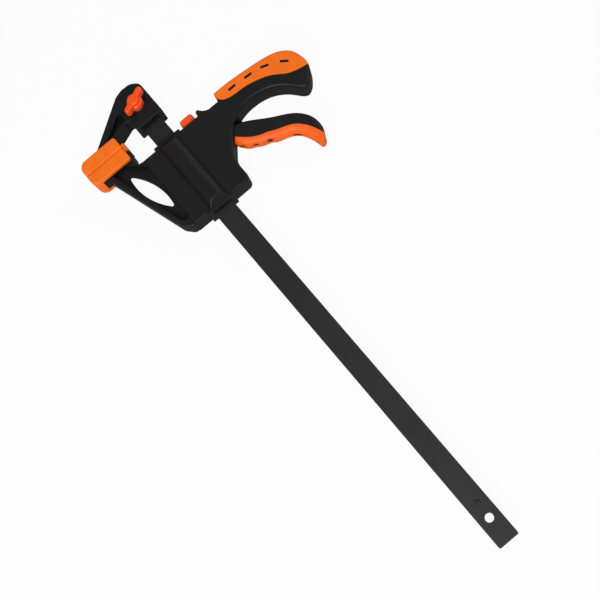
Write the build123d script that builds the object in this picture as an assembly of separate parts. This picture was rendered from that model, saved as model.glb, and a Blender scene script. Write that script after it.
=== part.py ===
from build123d import *
from math import cos, radians, sin, tan
import os

# One-hand quick release bar clamp.
#
# A flat steel bar carries a fixed jaw at one end.  The sliding jaw, moulded in one
# with the pistol grip, runs along the bar: squeezing the trigger pushes two drive
# plates that bite on the bar, and a canted brake lever, released by the button,
# keeps the jaw from running back.  The clamp lies on its side.
#
# The sub-parts are drawn in the bar's own axes: x runs along the bar towards its
# free end from the plane where the pads meet, y rises from the bar's centre line
# towards the grip, and z is across the thickness.  main() then moves every part so
# that the origin is the middle of the footprint, on the surface that carries it.

# ------------------------------------------------------------------ driving sizes, mm
OPENING = 300.0  # largest gap between the pads

# Steel bar
BAR_WIDTH = 18.0
BAR_THICK = 5.0
BAR_EDGE = 0.6  # rounding of the bar's long edges
BAR_HOLE_D = 7.0  # holes for the jaw screw and at the free end
BAR_HOLE_MARGIN = 21.2  # end hole to the free end
BAR_TAIL = 15.0  # jaw screw to the bar's hidden end
STOP_PIN_D = 4.5
STOP_PIN_OUT = 1.6  # how far the stop pin stands out of each face
STOP_TO_HOLE = 12.8

# Fixed jaw
SOCKET_FACE = 4.2  # socket mouth to the closing plane
SCREW_SET = 18.4  # jaw screw behind the socket mouth
JAW_WALL_Y = 4.4  # wall over and under the bar
ARM_HALF = 8.5  # half thickness of both jaw arms
WEB_HALF = 2.5  # half thickness of the arms' webs
REACH = 61.0  # bar edge to the bottom of the pads

# Pads
PAD_GAP = 0.2  # daylight between the closed pads
PAD_PLATE = 3.4  # working face's thickness
PAD_DEPTH = 12.2  # each pad along the bar
PAD_HALF = 12.4  # half width of the pads
PAD_HEIGHT = 38.0
PAD_FLOOR = 7.6  # closed bottom of the boot
PAD_TAB = 3.2  # working face standing over the cheeks
TIP_WIDTH = 8.4  # jaw tip inside the boot

# Jaw screw with its wing knob
SCREW_D = 6.0
NUT_FLATS = 10.0
NUT_HEIGHT = 5.0
WASHER_D = 12.8
WASHER_THICK = 1.2
KNOB_HUB_D = 13.4
KNOB_HEIGHT = 9.6
KNOB_SPAN = 25.0
KNOB_BLADE = 5.4
KNOB_TURN = -65.0  # rest direction of the wings, degrees from the bar

# Sliding jaw's housing
HOUSING_LEFT = 20.6
HOUSING_LENGTH = 71.4
COLLAR_OUT = 2.2  # guide collars standing out of both end walls
BLOCK_WALL = 7.5  # side of the bar to the side of the block
COLLAR_WALL = 4.2  # collars beyond the bar's edges
SLEEVE_HALF = 16.0  # half thickness over the spring sleeve
SLEEVE_WIDTH = 19.2  # where the round sleeve leaves the block
SLEEVE_LAND = 4.0  # flat along its crest, on which the clamp lies
SLEEVE_HIP = 4.8  # run of its sloped ends
SHELL_WALL = 2.6
CHAMBER_HALF = 7.5
CHAMBER_DEPTH = 7.2  # chamber floor and ceiling beyond the bar's edges
BULKHEAD_X = 36.0
BULKHEAD = 2.4
GRIP_SOFT = 2.2  # thickness of the soft grip overlay
GRIP_EDGE = 2.2  # rounding of the grip's edges
GROOVE = 0.7  # shadow groove round the overlay
HEEL_RISE = 44.2  # overlay's lower end over the bar's upper edge
INSET_STEPS = 9  # points that carry a curve moved sideways
GRIP_NOSE = (62.1, 105.8)  # x and height over the bar
GRIP_CROTCH = (41.6, 49.0)
GRIP_TOP = 124.0  # clear over the grip
GRIP_VENTS = [(21.0, 59.7, 90), (22.0, 76.1, 86), (24.9, 91.4, 68), (32.8, 106.2, 50)]  # x, height, turn
VENT_LENGTH = 7.4
VENT_WIDTH = 2.0
LENS_TIP_R = 1.3
CASE_SCREW_D = 2.9
CASE_SCREW_HEAD = 5.6
CASE_SCREW_LENGTH = 13.0

# Trigger
PIVOT_X = 48.5
PIVOT_RISE = 28.0  # pivot over the bar's upper edge
PIVOT_D = 5.0
SQUEEZE = 18.0  # full trigger travel, degrees
TRIGGER_HALF = 7.0
CORE_EDGE = 3.0  # rounding of the trigger core's back and boss
BOSS_R = 8.0
TOE_R = 3.0
TOE_RISE = 3.6  # toe's centre over the bar's upper edge
TOE_WAIST = 2.4  # half width of the neck over the toe
TRIGGER_ROOT = (55.0, 35.3)  # both ends of the line between core and finger grip
TRIGGER_TIP = (101.8, 91.2)
CROWN_R = 5.5  # rounding of the finger grip's crown
CROWN_DEPTH = 14.0
FINGER_HOLLOWS = [(68.0, 29.5, 8.0), (75.2, 40.7, 7.0), (82.9, 51.2, 9.6)]  # x, height, radius
POST_WIDTH = 3.0
POST_DEPTH = 7.6  # from the finger grip's surface into the core
POST_SINK = 0.7  # how far the posts end under the finger grip's surface
FINGER_POSTS = [  # x, height over the bar, run of the surface in degrees, length
    (62.4, 35.4, 44, 4.2),
    (69.1, 44.4, 58, 4.5),
    (74.3, 55.4, 64, 5.6),
    (85.9, 75.5, 48, 8.0),
]

# Drive plates and spring
PLATE_THICK = 3.0
PLATE_HEIGHT = 28.4
PLATE_WIDTH = 14.4
PLATE_CANT = 4.0  # degrees
SPRING_WIRE = 1.6
SPRING_CLEAR = 0.5  # coils clear of the bar's corners
SPRING_TURNS = 5

# Brake
BRAKE_THICK = 3.0
BRAKE_LEAN = 8.5  # degrees
BRAKE_SWING = 6.0  # release travel, degrees
BRAKE_FOOT_X = 30.2
BUTTON_OUT = 8.4  # button standing out of the wall
BUTTON_HEIGHT = 12.8
BUTTON_HALF = 6.8
BRAKE_WIRE = 0.7
BRAKE_COIL_D = 6.2
BRAKE_TURNS = 3

# Fits
RUN = 0.15  # running clearance on the bar, each side
PIN_FIT = 0.05  # radial clearance of pins and screws
SEAT = 0.05  # clearance of pieces that sit in each other
REST = 0.3  # gap of moving pieces to their stops

# ------------------------------------------------------------------ sizes that follow
HALF_WIDTH = BAR_WIDTH / 2
HALF_THICK = BAR_THICK / 2
BLOCK_HALF = HALF_THICK + BLOCK_WALL
SCREW_X = -SOCKET_FACE - SCREW_SET
BAR_LEFT = SCREW_X - BAR_TAIL
HOUSING_RIGHT = HOUSING_LEFT + HOUSING_LENGTH
STOP_PIN_X = HOUSING_RIGHT + COLLAR_OUT + OPENING + STOP_PIN_D / 2 + REST
END_HOLE_X = STOP_PIN_X + STOP_TO_HOLE
BAR_RIGHT = END_HOLE_X + BAR_HOLE_MARGIN
PAD_BOTTOM = -HALF_WIDTH - REACH
TIP_BOTTOM = PAD_BOTTOM + PAD_FLOOR + SEAT
TIP_TOP = PAD_BOTTOM + PAD_HEIGHT + PAD_TAB - 1.2
TIP_NEAR = PAD_GAP / 2 + PAD_PLATE + SEAT
TIP_FAR = TIP_NEAR + TIP_WIDTH
FLOOR_Y = -HALF_WIDTH - CHAMBER_DEPTH
CEILING_Y = HALF_WIDTH + CHAMBER_DEPTH
PIVOT_Y = HALF_WIDTH + PIVOT_RISE
TOE_Y = HALF_WIDTH + TOE_RISE
TOE_ARM = (PIVOT_Y - TOE_Y) / cos(radians(SQUEEZE / 2))
TOE_X = PIVOT_X - TOE_ARM * sin(radians(SQUEEZE / 2))
PLATE_X = TOE_X + TOE_R + REST
FOOT_R = BRAKE_THICK / 2
FOOT_Y = FLOOR_Y + REST
BUTTON_BOTTOM = HALF_WIDTH + 7.8
BUTTON_TOP = BUTTON_BOTTOM + BUTTON_HEIGHT
BUTTON_RISE = BUTTON_TOP + (BRAKE_FOOT_X - HOUSING_LEFT + BUTTON_OUT) * sin(radians(BRAKE_SWING))
COIL_R = (HALF_WIDTH**2 + HALF_THICK**2) ** 0.5 + SPRING_CLEAR + SPRING_WIRE / 2
PLATE_STEP = PLATE_THICK / cos(radians(PLATE_CANT)) + 0.1
COIL_OFFSET = (COIL_R + SPRING_WIRE / 2 - TOE_Y) * tan(radians(PLATE_CANT))
SPRING_START = PLATE_X + 2 * PLATE_STEP + COIL_OFFSET + REST
WELL_RIGHT = PIVOT_X + 9.6
BRAKE_COIL_Y = HALF_WIDTH + 4.0


# ------------------------------------------------------------------ small helpers
def above(height):
    """The y of a point this far over the bar's upper edge."""
    return HALF_WIDTH + height


def below(depth):
    """The y of a point this far under the bar's lower edge."""
    return -HALF_WIDTH - depth


def over(place):
    """A point given as x and height over the bar's upper edge."""
    return place[0], above(place[1])


def box(x0, x1, y0, y1, z0, z1):
    """A block between two corners."""
    middle = Pos((x0 + x1) / 2, (y0 + y1) / 2, (z0 + z1) / 2)
    return middle * Box(x1 - x0, y1 - y0, z1 - z0)


def rod(x, y, z0, z1, radius):
    """A round rod along z."""
    return Pos(x, y, (z0 + z1) / 2) * Cylinder(radius, z1 - z0)


def profile(*corners):
    """A closed outline of straight runs: corners are (x, y, corner radius)."""
    points = [(x, y) for x, y, radius in corners]
    return make_face(FilletPolyline(*points, radius=[c[2] for c in corners], close=True))


def slab(face, half):
    """A prism of an outline, centred on the clamp's middle plane."""
    return extrude(face, half, both=True)


def soften(part, half, radius):
    """Round the outline edges of a slab on both of its flat sides."""
    rim = part.edges().filter_by(lambda e: abs(abs(e.center().Z) - half) < 0.01)
    return fillet(rim, radius)


def hex_prism(flats, height):
    """A hexagon across these flats."""
    return extrude(RegularPolygon(flats / 2, 6, major_radius=False), height)


def coil(length, radius, wire, turns):
    """A compression spring along +x from x = 0, wire included, wound in tilted half rings."""
    pitch = (length - wire) / turns
    halves = []
    for half in range(2 * turns):
        side = 1 if half % 2 == 0 else -1
        start = Vector(wire / 2 + half * pitch / 2, side * radius)
        across = Vector(pitch / 2, -2 * side * radius)
        axis = Axis(start + across * 0.5, across.cross(Vector(0, 0, side)))
        halves.append(revolve(Pos(start) * Circle(wire / 2), axis, 180))
    return halves[0] + halves[1:]


# ------------------------------------------------------------------ the bar
def make_bar():
    """Flat bar with rolled edges, the jaw screw's hole and the end hole."""
    bar = box(BAR_LEFT, BAR_RIGHT, -HALF_WIDTH, HALF_WIDTH, -HALF_THICK, HALF_THICK)
    bar = fillet(bar.edges().filter_by(Axis.X), BAR_EDGE)
    corners = bar.edges().filter_by(Axis.Z).sort_by(Axis.X)[-2:]
    bar = fillet(corners, 2 * BAR_EDGE)
    for x in (SCREW_X, END_HOLE_X):
        bar -= rod(x, 0, -BAR_THICK, BAR_THICK, BAR_HOLE_D / 2)
    bar -= rod(STOP_PIN_X, 0, -BAR_THICK, BAR_THICK, STOP_PIN_D / 2)
    return bar


def make_stop_pin():
    """Pressed pin that ends the jaw's travel."""
    reach = HALF_THICK + STOP_PIN_OUT
    pin = rod(STOP_PIN_X, 0, -reach, reach, STOP_PIN_D / 2)
    return chamfer(pin.edges().filter_by(GeomType.CIRCLE), 0.4)


# ------------------------------------------------------------------ the fixed jaw
def jaw_block_profile():
    """Socket block: square at its mouth, curved behind, cut back at the lower corner."""
    half = HALF_WIDTH + JAW_WALL_Y
    return profile(
        (-SOCKET_FACE, -half, 0.8),
        (-SOCKET_FACE, half, 0.8),
        (SCREW_X - 14.6, half, 7),
        (SCREW_X - 19.8, half - 7.6, 9),
        (SCREW_X - 19.2, half - 15.4, 2),
        (SCREW_X - 13.4, -half + 9.4, 2),
        (SCREW_X - 3.2, -half, 2),
    )


def jaw_arm_profile():
    """Fixed arm, from behind the socket block down into its pad."""
    half = HALF_WIDTH + JAW_WALL_Y
    return profile(
        (SCREW_X + 3.0, half - 1.0, 0),
        (SCREW_X - 13.0, half - 1.0, 3),
        (SCREW_X - 18.6, half - 8.4, 6),
        (SCREW_X - 21.2, half - 13.6, 8),
        (SCREW_X - 18.6, below(0.5), 8),
        (-14.0, TIP_BOTTOM + 12.1, 6),
        (-TIP_FAR, TIP_BOTTOM + 7.3, 3),
        (-TIP_FAR, TIP_BOTTOM, 2),
        (-TIP_NEAR, TIP_BOTTOM, 1),
        (-TIP_NEAR, TIP_TOP, 1.5),
        (-TIP_FAR + 1.2, TIP_TOP - 0.8, 2),
        (-16.6, below(5.6), 3),
        (-13.2, -half + 2.2, 0),
        (-13.2, 0, 0),
    )


def arm_pocket_profile():
    """Pocket between the fixed arm's two flanges."""
    return profile(
        (SCREW_X - 6.4, below(6.7), 2.5),
        (SCREW_X + 3.4, below(6.6), 1.5),
        (-13.6, TIP_BOTTOM + 23.8, 0.5),
        (-15.4, TIP_BOTTOM + 25.4, 0.5),
    )


def make_fixed_jaw():
    """Moulded jaw with the bar socket, the screw bore and the captive nut's seat."""
    block = soften(slab(jaw_block_profile(), BLOCK_HALF), BLOCK_HALF, 1.2)
    arm = soften(slab(jaw_arm_profile(), ARM_HALF), ARM_HALF, 1.2)
    jaw = block + arm
    pocket = extrude(arm_pocket_profile(), ARM_HALF)
    jaw -= Pos(0, 0, WEB_HALF) * pocket
    jaw -= Pos(0, 0, -WEB_HALF - ARM_HALF) * pocket
    y, z = HALF_WIDTH + SEAT, HALF_THICK + SEAT
    jaw -= box(BAR_LEFT - SEAT, 0, -y, y, -z, z)
    jaw -= rod(SCREW_X, 0, -BLOCK_HALF, BLOCK_HALF, SCREW_D / 2 + 4 * PIN_FIT)
    seat = Pos(SCREW_X, 0, -BLOCK_HALF) * hex_prism(NUT_FLATS + 2 * SEAT, NUT_HEIGHT)
    return jaw - seat


def make_pad():
    """Soft boot of the fixed jaw: working face, two cheeks and a thick floor."""
    near = -PAD_GAP / 2
    far = near - PAD_DEPTH
    top = PAD_BOTTOM + PAD_HEIGHT
    cheeks = slab(
        profile(
            (near, PAD_BOTTOM, 1.2),
            (near, top, 1.2),
            (far, top, 2.4),
            (far, PAD_BOTTOM, 7.5),
        ),
        PAD_HALF,
    )
    rim = cheeks.edges().filter_by(lambda e: abs(abs(e.center().Z) - PAD_HALF) < 0.01)
    seam = rim.group_by(Axis.X)[-1]
    cheeks = fillet([e for e in rim if e not in seam], 1.4)
    tab = box(near - PAD_PLATE, near, top - 4, top + PAD_TAB, -PAD_HALF + 2.4, PAD_HALF - 2.4)
    tab = fillet(tab.edges().filter_by(Axis.X).sort_by(Axis.Y)[-2:], 2.0)
    pad = cheeks + tab
    inner = near - PAD_PLATE
    side = ARM_HALF + SEAT
    return pad - box(far - 1, inner, PAD_BOTTOM + PAD_FLOOR, top + 9, -side, side)


# ------------------------------------------------------------------ jaw screw and knob
def make_knob():
    """Two-winged knob moulded round the screw's head."""
    base = BLOCK_HALF + WASHER_THICK
    hub = rod(0, 0, 0, 0.62 * KNOB_HEIGHT, KNOB_HUB_D / 2)
    hub = fillet(hub.edges().sort_by(Axis.Z)[-1], 1.6)
    blade = extrude(SlotOverall(KNOB_SPAN, KNOB_BLADE), KNOB_HEIGHT - 2.0)
    blade = Pos(0, 0, 2.0) * fillet(blade.edges().group_by(Axis.Z)[-1], 1.5)
    crown = rod(0, 0, 0, KNOB_HEIGHT, 0.33 * KNOB_HUB_D + 0.6)
    crown = fillet(crown.edges().sort_by(Axis.Z)[-1], 1.2)
    knob = hub + blade + crown
    knob -= rod(0, 0, -1, 0.5 * KNOB_HEIGHT, SCREW_D / 2)
    return Pos(SCREW_X, 0, base) * Rot(0, 0, KNOB_TURN) * knob


def make_screw():
    """Stud fast in the knob, through the jaw and the bar into the nut."""
    top = BLOCK_HALF + WASHER_THICK + 0.5 * KNOB_HEIGHT
    screw = rod(SCREW_X, 0, -BLOCK_HALF + 0.6, top, SCREW_D / 2)
    return chamfer(screw.edges().sort_by(Axis.Z)[0], 0.8)


def make_washer():
    """Plain washer under the knob."""
    top = BLOCK_HALF + WASHER_THICK
    washer = rod(SCREW_X, 0, BLOCK_HALF, top, WASHER_D / 2)
    return washer - rod(SCREW_X, 0, 0, 2 * top, SCREW_D / 2 + 0.3)


def make_nut():
    """Hexagon nut held in the back of the jaw."""
    nut = Pos(SCREW_X, 0, -BLOCK_HALF + SEAT) * hex_prism(NUT_FLATS, NUT_HEIGHT - 2 * SEAT)
    return nut - rod(SCREW_X, 0, -2 * BLOCK_HALF, 0, SCREW_D / 2 + PIN_FIT)


# ------------------------------------------------------------------ housing outside
def block_profile():
    """Main block with the nose over the button and the root of the grip."""
    right = HOUSING_RIGHT
    return profile(
        (HOUSING_LEFT, below(17.5), 0),
        (HOUSING_LEFT, above(22.8), 0.8),
        (17.0, above(23.4), 1.0),
        (15.4, above(25.6), 1.2),
        (19.6, above(28.8), 2.5),
        (22.0, above(33.0), 4),
        (22.0, above(48.0), 0),
        (38.0, above(56.0), 0),
        (*over(GRIP_CROTCH), 12),
        (46.9, above(40.1), 14),
        (57.5, above(31.8), 14),
        (67.0, above(24.6), 10),
        (77.0, above(22.5), 10),
        (right, above(22.5), 5),
        (right, below(17.5), 0),
    )


def arm_profile():
    """Sliding jaw's arm, with its tip."""
    right = HOUSING_RIGHT
    return profile(
        (TIP_NEAR, TIP_BOTTOM, 1),
        (TIP_NEAR, TIP_TOP, 1.5),
        (TIP_FAR - 2.4, TIP_TOP + 0.6, 2.5),
        (TIP_FAR + 1.8, TIP_TOP - 1.8, 3),
        (HOUSING_LEFT - 1.6, TIP_TOP - 1.6, 2.5),
        (HOUSING_LEFT, below(14.0), 0),
        (HOUSING_LEFT, below(10.0), 0),
        (right, below(10.0), 0),
        (right, below(21.0), 5),
        (right - 7.0, below(27.2), 10),
        (TIP_FAR + 4.6, TIP_BOTTOM + 5.5, 0),
        (TIP_FAR, TIP_BOTTOM + 4.1, 0),
        (TIP_FAR, TIP_BOTTOM, 2),
    )


def web_recess_profile():
    """Recess between the arm's border flanges."""
    right = HOUSING_RIGHT
    return profile(
        (HOUSING_LEFT + 6.0, below(16.4), 2),
        (right - 9.0, below(16.4), 2),
        (right - 7.2, below(20.4), 3),
        (right - 11.0, below(24.6), 4),
        (TIP_FAR + 0.6, TIP_BOTTOM + 9.1, 0),
        (TIP_FAR + 0.6, TIP_BOTTOM + 21.9, 0),
        (HOUSING_LEFT - 1.0, below(24.4), 3),
    )


def lens_profile():
    """Lens-shaped hole through the web: two arcs with rounded tips."""
    left = Vector(18.6, TIP_BOTTOM + 18.9)
    right = Vector(66.4, below(20.9))
    middle = (left + right) * 0.5
    rise = Vector(-(right - left).Y, (right - left).X).normalized() * 6.2
    upper = ThreePointArc(left, middle + rise, right)
    lower = ThreePointArc(right, middle - rise, left)
    lens = make_face(upper + lower)
    return fillet(lens.vertices(), LENS_TIP_R)


def grip_back():
    """Back strap and top of the pistol grip, from its heel to its nose."""
    return Spline(
        (14.1, above(HEEL_RISE)),
        (14.1, above(59.0)),
        (15.6, above(77.0)),
        (18.2, above(96.0)),
        (22.0, above(108.3)),
        (29.0, above(116.5)),
        (38.5, above(119.8)),
        (47.0, above(119.9)),
        (55.0, above(115.7)),
        (60.3, above(110.6)),
        over(GRIP_NOSE),
    )


def grip_front():
    """Finger side of the grip, from its nose down to the crotch."""
    return Spline(
        over(GRIP_NOSE),
        (60.9, above(103.0)),
        (58.1, above(100.2)),
        (50.7, above(94.1)),
        (45.1, above(87.2)),
        (41.4, above(79.7)),
        (39.9, above(74.1)),
        (39.0, above(65.7)),
        (39.3, above(58.2)),
        over(GRIP_CROTCH),
    )


def grip_profile():
    """Whole outline of the grip down to its root in the block."""
    back = grip_back()
    front = grip_front()
    root = above(38.0)
    neck = 21.9
    foot = [(GRIP_CROTCH[0], root), (neck, root), (neck, above(HEEL_RISE))]
    foot = Polyline(front @ 1, *foot, back @ 0)
    return make_face(back + front + foot)


def inward(curve, distance, start, end):
    """Part of a curve, moved to its right by a distance."""
    points = []
    for step in range(INSET_STEPS + 1):
        place = start + (end - start) * step / INSET_STEPS
        run = curve % place
        points.append(curve @ place + Vector(run.Y, -run.X) * distance)
    return Spline(*points)


def soft_region(inset):
    """Area of the soft overlay, left of its wavy border, drawn in by an inset."""
    low = above(HEEL_RISE + inset)
    high = above(GRIP_TOP)
    border = Spline(
        (49.0 - inset, high),
        (46.9 - inset, above(111.0)),
        (43.4 - inset, above(101.5)),
        (36.4 - inset, above(92.0)),
        (31.0 - inset, above(80.0)),
        (28.0 - inset, above(66.0)),
        (26.6 - inset, above(52.0)),
        (23.5 - inset, above(46.2)),
        (19.0 - inset, low),
    )
    rest = Polyline(border @ 1, (5.0, low), (5.0, high), border @ 0)
    return make_face(border + rest)


def collar_solid():
    """Guide collars for the bar, standing out of both end walls of the block."""
    left = HOUSING_LEFT - COLLAR_OUT
    right = HOUSING_RIGHT + COLLAR_OUT
    half = HALF_WIDTH + COLLAR_WALL
    collar = box(left, right, -half, half, -BLOCK_HALF, BLOCK_HALF)
    ends = collar.edges().group_by(Axis.X)
    return fillet(ends[0] + ends[-1], 0.8)


def sleeve_solid():
    """Half-round sleeve over the drive spring, standing out of the block, with sloped ends
    and a narrow flat along its crest."""
    rise = SLEEVE_HALF - BLOCK_HALF
    sunk = (SLEEVE_WIDTH**2 - SLEEVE_LAND**2) / (8 * rise) + rise / 2
    radius = (sunk**2 + SLEEVE_LAND**2 / 4) ** 0.5
    length = HOUSING_LENGTH + SLEEVE_HIP
    middle = HOUSING_LEFT + HOUSING_LENGTH / 2
    barrel = Cylinder(radius, length, rotation=(0, 90, 0))
    barrel = Pos(middle, 0, SLEEVE_HALF - sunk) * barrel
    slope = SLEEVE_HIP / rise
    low, high = BLOCK_HALF - 1, SLEEVE_HALF
    half = HOUSING_LENGTH / 2
    corners = [
        (-half - slope, low),
        (-half + slope * (high - BLOCK_HALF), high),
        (half - slope * (high - BLOCK_HALF), high),
        (half + slope, low),
    ]
    outline = Plane.XZ * make_face(Polyline(*corners, close=True))
    ridge = barrel & Pos(middle, 0, 0) * extrude(outline, radius, both=True)
    crease = ridge.edges().filter_by(lambda e: e.center().Z > BLOCK_HALF + 0.5)
    ridge = fillet(crease.filter_by(Axis.X, reverse=True), 1.2)
    return ridge + mirror(ridge, Plane.XY)


def housing_solid():
    """Outside form of the sliding jaw, whole, with its webs and lens hole cut."""
    block = soften(slab(block_profile(), BLOCK_HALF), BLOCK_HALF, 1.6)
    arm = soften(slab(arm_profile(), ARM_HALF), ARM_HALF, 1.4)
    grip = soften(slab(grip_profile(), BLOCK_HALF), BLOCK_HALF, GRIP_EDGE)
    recess = extrude(web_recess_profile(), BLOCK_HALF)
    solid = block + arm
    solid -= Pos(0, 0, WEB_HALF) * recess
    solid -= Pos(0, 0, -WEB_HALF - BLOCK_HALF) * recess
    solid -= slab(lens_profile(), BLOCK_HALF)
    return solid + collar_solid() + sleeve_solid() + grip


# ------------------------------------------------------------------ housing inside
def case_screw_places():
    """Case screws: two in the grip, one over the button, one by each other corner of the block."""
    return [
        (53.6, above(108.0)),
        (34.0, above(55.0)),
        (29.0, above(28.5)),
        (HOUSING_RIGHT - 7.5, above(15.5)),
        (HOUSING_RIGHT - 7.5, below(14.0)),
        (HOUSING_LEFT + 6.2, below(14.0)),
    ]


def well_profile():
    """Slot in which the trigger's boss and neck swing, open at the crotch."""
    back = BULKHEAD_X + BULKHEAD
    return profile(
        (back, FLOOR_Y + 2.0, 0),
        (back, PIVOT_Y + 8.0, 0),
        (PIVOT_X - 9.4, PIVOT_Y + 13.0, 0),
        (PIVOT_X - 6.4, PIVOT_Y + 23.5, 0),
        (PIVOT_X + 12.0, PIVOT_Y + 23.5, 0),
        (WELL_RIGHT, PIVOT_Y + 3.0, 0),
        (WELL_RIGHT, FLOOR_Y + 2.0, 0),
    )


def chamber_solid():
    """Everything hollow in the housing: guides, chambers, well, bores and cored pockets."""
    left = HOUSING_LEFT + SHELL_WALL
    right = HOUSING_RIGHT - SHELL_WALL
    depth = CHAMBER_HALF
    y, z = HALF_WIDTH + RUN, HALF_THICK + RUN
    void = box(HOUSING_LEFT - 9, HOUSING_RIGHT + 9, -y, y, -z, z)
    void += box(left, BULKHEAD_X, FLOOR_Y, BUTTON_RISE, -depth, depth)
    void += box(BULKHEAD_X + BULKHEAD, right, FLOOR_Y, CEILING_Y, -depth, depth)
    void += slab(well_profile(), depth)
    void += box(HOUSING_LEFT - 6, left + 1, BUTTON_BOTTOM - REST, BUTTON_RISE, -depth, depth)
    void += Pos(BRAKE_FOOT_X, FOOT_Y, 0) * Cylinder(FOOT_R + SEAT * 2, 2 * depth)
    start = SPRING_START - REST
    bore = Cylinder(COIL_R + SPRING_WIRE / 2 + 0.4, right - start, rotation=(0, 90, 0))
    void += Pos((start + right) / 2, 0, 0) * bore
    return void + rod(PIVOT_X, PIVOT_Y, -BLOCK_HALF + 1.1, BLOCK_HALF - 1.1, PIVOT_D / 2 + PIN_FIT)


def cored_pockets():
    """Pockets that thin the grip and the back of the block, with cross ribs left standing."""
    wall = GRIP_SOFT + SHELL_WALL + 1.2
    half = BLOCK_HALF - GRIP_SOFT - SHELL_WALL
    back = inward(grip_back(), wall, 0.15, 0.8)
    front = inward(grip_front(), wall, 0.3, 0.95)
    ends = [Line(back @ 1, front @ 0), Line(front @ 1, back @ 0)]
    inner = slab(make_face(back + front + ends), half)
    for height in (74, 88, 101):
        inner -= box(0, 80, above(height), above(height + 1.8), -half, half)
    pockets = inner + box(WELL_RIGHT + 3, HOUSING_RIGHT - 13, CEILING_Y + 2.4, above(19.4), -half, half)
    for x, y in case_screw_places():
        pockets -= rod(x, y, -half, half, CASE_SCREW_D / 2 + 2.2)
    return pockets


def brake_peg():
    """Peg on the bulkhead that centres the brake spring."""
    peg = Cylinder(BRAKE_COIL_D / 2 - BRAKE_WIRE - 0.3, 2.4, rotation=(0, 90, 0))
    return Pos(BULKHEAD_X - 1.2, BRAKE_COIL_Y, 0) * peg


def grip_core():
    """Hard core under the soft overlay, open towards the finger side."""
    skin = inward(grip_back(), GRIP_SOFT, 0.03, 0.97)
    low = above(HEEL_RISE + GRIP_SOFT)
    rest = Polyline(skin @ 1, (90.0, (skin @ 1).Y), (90.0, low), ((skin @ 0).X, low), skin @ 0)
    return slab(make_face(skin + rest), BLOCK_HALF - GRIP_SOFT)


def make_shells():
    """Front and back halves of the housing, the back one drilled for the case screws."""
    seat = CASE_SCREW_LENGTH / 2
    cuts = [slab(soft_region(0), BLOCK_HALF + 1) - grip_core(), chamber_solid(), cored_pockets()]
    for x, y in case_screw_places():
        cuts.append(rod(x, y, -seat, seat + SEAT, CASE_SCREW_D / 2 + PIN_FIT))
        cuts.append(rod(x, y, -2 * BLOCK_HALF, -seat, CASE_SCREW_HEAD / 2 + 0.3))
    solid = housing_solid() - cuts + brake_peg()
    front = split(solid, bisect_by=Plane.XY, keep=Keep.TOP)
    back = split(solid, bisect_by=Plane.XY, keep=Keep.BOTTOM)
    return front, back


def make_case_screws():
    """Pan head screws that draw the halves together, driven from the back."""
    screws = []
    seat = -CASE_SCREW_LENGTH / 2
    for x, y in case_screw_places():
        shank = rod(x, y, seat, -seat, CASE_SCREW_D / 2)
        head = rod(x, y, seat - 2.0, seat, CASE_SCREW_HEAD / 2)
        head = chamfer(head.edges().sort_by(Axis.Z)[0], 0.6)
        screws.append(shank + head)
    return Compound(children=screws)


def make_overlay():
    """Soft overlay wrapped round the grip's back, with four vent slots in each side."""
    grip = soften(slab(grip_profile(), BLOCK_HALF), BLOCK_HALF, GRIP_EDGE)
    skin = grip & slab(soft_region(GROOVE), BLOCK_HALF + 1)
    skin -= grip_core()
    for x, height, turn in GRIP_VENTS:
        mark = slab(RectangleRounded(VENT_LENGTH, VENT_WIDTH, 0.6), BLOCK_HALF + 1)
        skin -= Pos(x, above(height), 0) * Rot(0, 0, turn) * mark
    return skin


# ------------------------------------------------------------------ trigger
def finger_border():
    """Line between the trigger's hard core and its soft finger grip."""
    return Spline(
        over(TRIGGER_ROOT),
        (62.1, above(42.3)),
        (67.6, above(50.6)),
        (70.6, above(58.6)),
        (73.8, above(65.0)),
        (76.6, above(72.4)),
        (80.4, above(79.0)),
        (85.6, above(83.8)),
        (92.4, above(87.8)),
        over(TRIGGER_TIP),
    )


def trigger_core_face():
    """Core outline: round boss, straight back, hooked end."""
    back = Spline(
        over(TRIGGER_TIP),
        (96.7, above(93.9)),
        (91.0, above(94.5)),
        (84.6, above(93.6)),
        (78.6, above(90.8)),
        (72.6, above(85.8)),
        (61.6, above(68.8)),
        (49.6, above(50.6)),
        (43.4, above(38.0)),
    )
    pivot = Vector(PIVOT_X, PIVOT_Y)
    heel = Line(back @ 1, (PIVOT_X - BOSS_R, PIVOT_Y))
    bottom = ThreePointArc(heel @ 1, pivot - Vector(0, BOSS_R), pivot + Vector(BOSS_R, 0))
    toe = Line(bottom @ 1, over(TRIGGER_ROOT))
    return make_face(finger_border() + back + heel + bottom + toe)


def toe_face():
    """Heel of the trigger: a waisted neck under the boss, with a round toe."""
    pivot = Vector(PIVOT_X, PIVOT_Y)
    toe = Vector(TOE_X, TOE_Y)
    waist = toe + (pivot - toe).normalized() * (2 * TOE_R)
    foot = Pos(toe) * Circle(TOE_R)
    neck = Pos(waist) * Circle(TOE_WAIST)
    boss = Pos(pivot) * Circle(BOSS_R - 1.0)
    return make_hull(foot.edges() + neck.edges()) + make_hull(neck.edges() + boss.edges())


def finger_posts(gap, sink):
    """Posts of the core that show in the finger grip's slots, less a gap and a sink."""
    posts = []
    for x, height, turn, length in FINGER_POSTS:
        outline = RectangleRounded(length - 2 * gap, POST_WIDTH - 2 * gap, 1.0)
        post = Pos(0, 0, -POST_DEPTH) * extrude(outline, POST_DEPTH - sink)
        posts.append(Pos(x, above(height), 0) * Rot(0, 0, turn) * Rot(90, 0, 0) * post)
    return posts


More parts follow.
